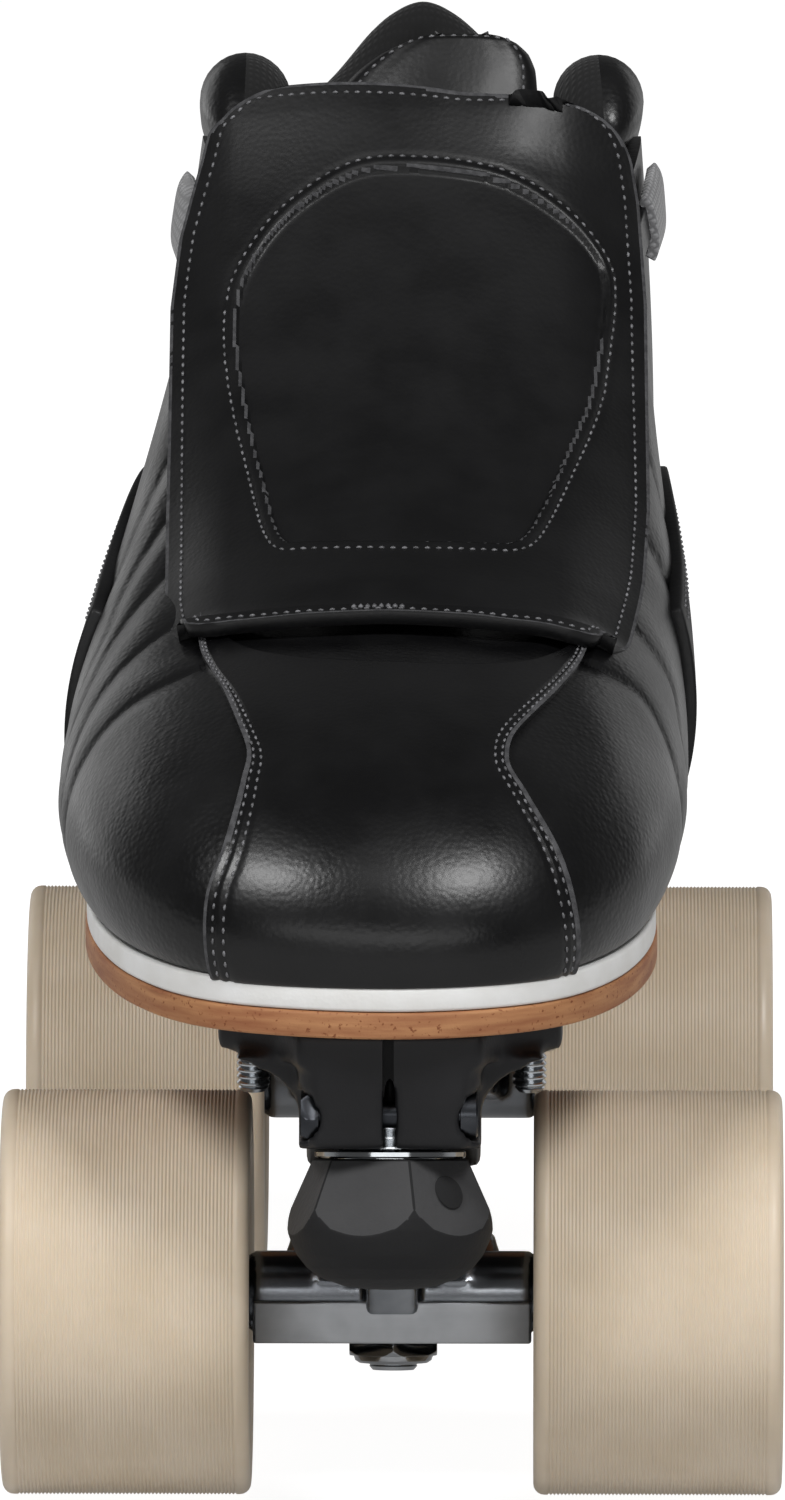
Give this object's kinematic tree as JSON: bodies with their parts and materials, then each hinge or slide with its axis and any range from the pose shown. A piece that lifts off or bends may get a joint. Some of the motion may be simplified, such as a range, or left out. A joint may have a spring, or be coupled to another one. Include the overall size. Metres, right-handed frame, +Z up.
{
  "type": "quad roller skate",
  "caption": "Low-cut leather quad roller skate with nylon plate, two steering trucks, four wheels, screw-in toe stop and fold-over lace cover.",
  "frame": {"origin": "on the ground under the middle of the object's box, on the plate's centre line", "axes": "+Z up, toe towards -Y, heel towards +Y, the wearer's right towards -X"},
  "size_m": [0.1192, 0.2884, 0.208],
  "materials": {
    "urethane": "matt cast urethane, finely grooved tread",
    "hub_nylon": "moulded black nylon",
    "steel_zinc": "bright plated steel",
    "bearing_steel": "ground bearing steel",
    "cast_aluminium": "dark polished cast aluminium",
    "cushion_urethane": "black urethane cushion",
    "plate_nylon": "black glass-filled nylon",
    "stop_rubber": "fine-textured black rubber",
    "outsole_leather": "tan stacked leather",
    "midsole_foam": "white foam",
    "upper_leather": "smooth black leather",
    "lining_fabric": "black knit lining",
    "lace_cotton": "black woven lace",
    "webbing_grey": "grey twill webbing"
  },
  "bodies": {
    "boot_and_plate": {"plate": "plate_nylon", "pinch_bolt": "steel_zinc", "outsole": "outsole_leather", "midsole": "midsole_foam", "footbed": "lining_fabric", "toe_vamp": "upper_leather", "quarter_outer": "upper_leather", "quarter_inner": "upper_leather", "heel_counter": "upper_leather", "collar_padding": "upper_leather", "tongue": "upper_leather", "lace_cover_root": "upper_leather", "lace": "lace_cotton", "webbing_outer": "webbing_grey", "webbing_inner": "webbing_grey", "mount_bolt_front_left": "steel_zinc", "mount_bolt_front_right": "steel_zinc", "mount_bolt_rear_left": "steel_zinc", "mount_bolt_rear_right": "steel_zinc", "front_kingpin": "steel_zinc", "front_cushion_upper": "cushion_urethane", "front_cushion_lower": "cushion_urethane", "front_cushion_cup": "steel_zinc", "front_kingpin_nut": "steel_zinc", "front_pivot_cup": "cushion_urethane", "rear_kingpin": "steel_zinc", "rear_cushion_upper": "cushion_urethane", "rear_cushion_lower": "cushion_urethane", "rear_cushion_cup": "steel_zinc", "rear_kingpin_nut": "steel_zinc", "rear_pivot_cup": "cushion_urethane"},
    "front_truck": {"front_hanger": "cast_aluminium", "front_axle": "steel_zinc", "front_left_axle_nut": "steel_zinc", "front_right_axle_nut": "steel_zinc"},
    "rear_truck": {"rear_hanger": "cast_aluminium", "rear_axle": "steel_zinc", "rear_left_axle_nut": "steel_zinc", "rear_right_axle_nut": "steel_zinc"},
    "front_left_wheel": {"front_left_tyre": "urethane", "front_left_hub": "hub_nylon", "front_left_bearing_outer": "bearing_steel", "front_left_bearing_inner": "bearing_steel"},
    "front_right_wheel": {"front_right_tyre": "urethane", "front_right_hub": "hub_nylon", "front_right_bearing_outer": "bearing_steel", "front_right_bearing_inner": "bearing_steel"},
    "rear_left_wheel": {"rear_left_tyre": "urethane", "rear_left_hub": "hub_nylon", "rear_left_bearing_outer": "bearing_steel", "rear_left_bearing_inner": "bearing_steel"},
    "rear_right_wheel": {"rear_right_tyre": "urethane", "rear_right_hub": "hub_nylon", "rear_right_bearing_outer": "bearing_steel", "rear_right_bearing_inner": "bearing_steel"},
    "toe_stop_carrier": {"toe_stop_washer": "steel_zinc"},
    "toe_stop": {"toe_stop_rubber": "stop_rubber", "toe_stop_stem": "steel_zinc"},
    "cover": {"lace_cover": "upper_leather"}
  },
  "joints": [
    {"name": "front_steer", "type": "hinge", "parent": "boot_and_plate", "child": "front_truck", "pos_m": [0, -0.104, 0.048], "axis": [0, 0.9143, -0.4049], "range_deg": [-8, 8], "stiffness_Nm_per_rad": 20, "deforming": ["front_cushion_upper", "front_cushion_lower"]},
    {"name": "rear_steer", "type": "hinge", "parent": "boot_and_plate", "child": "rear_truck", "pos_m": [0, 0.087, 0.048], "axis": [0, -0.9143, -0.4049], "range_deg": [-8, 8], "stiffness_Nm_per_rad": 20, "deforming": ["rear_cushion_upper", "rear_cushion_lower"]},
    {"name": "front_left_spin", "type": "hinge", "parent": "front_truck", "child": "front_left_wheel", "pos_m": [0.0406, -0.086, 0.031], "axis": [1, 0, 0], "continuous": true},
    {"name": "front_right_spin", "type": "hinge", "parent": "front_truck", "child": "front_right_wheel", "pos_m": [-0.0406, -0.086, 0.031], "axis": [1, 0, 0], "continuous": true},
    {"name": "rear_left_spin", "type": "hinge", "parent": "rear_truck", "child": "rear_left_wheel", "pos_m": [0.0406, 0.069, 0.031], "axis": [1, 0, 0], "continuous": true},
    {"name": "rear_right_spin", "type": "hinge", "parent": "rear_truck", "child": "rear_right_wheel", "pos_m": [-0.0406, 0.069, 0.031], "axis": [1, 0, 0], "continuous": true},
    {"name": "toe_stop_travel", "type": "slide", "parent": "boot_and_plate", "child": "toe_stop_carrier", "axis": [0, -0.2079, -0.9781], "range_m": [0, 0.006]},
    {"name": "toe_stop_turn", "type": "hinge", "parent": "toe_stop_carrier", "child": "toe_stop", "pos_m": [0, -0.124, 0.07], "axis": [0, -0.2079, -0.9781], "range_deg": [0, 939.13]},
    {"name": "cover_fold", "type": "hinge", "parent": "boot_and_plate", "child": "cover", "pos_m": [0, -0.0667, 0.1393], "axis": [1, 0, 0], "range_deg": [0, 100]}
  ],
  "couplings": [
    {"joint": "toe_stop_turn", "follows": "toe_stop_travel", "rad_per_m": 2731.8}
  ]
}
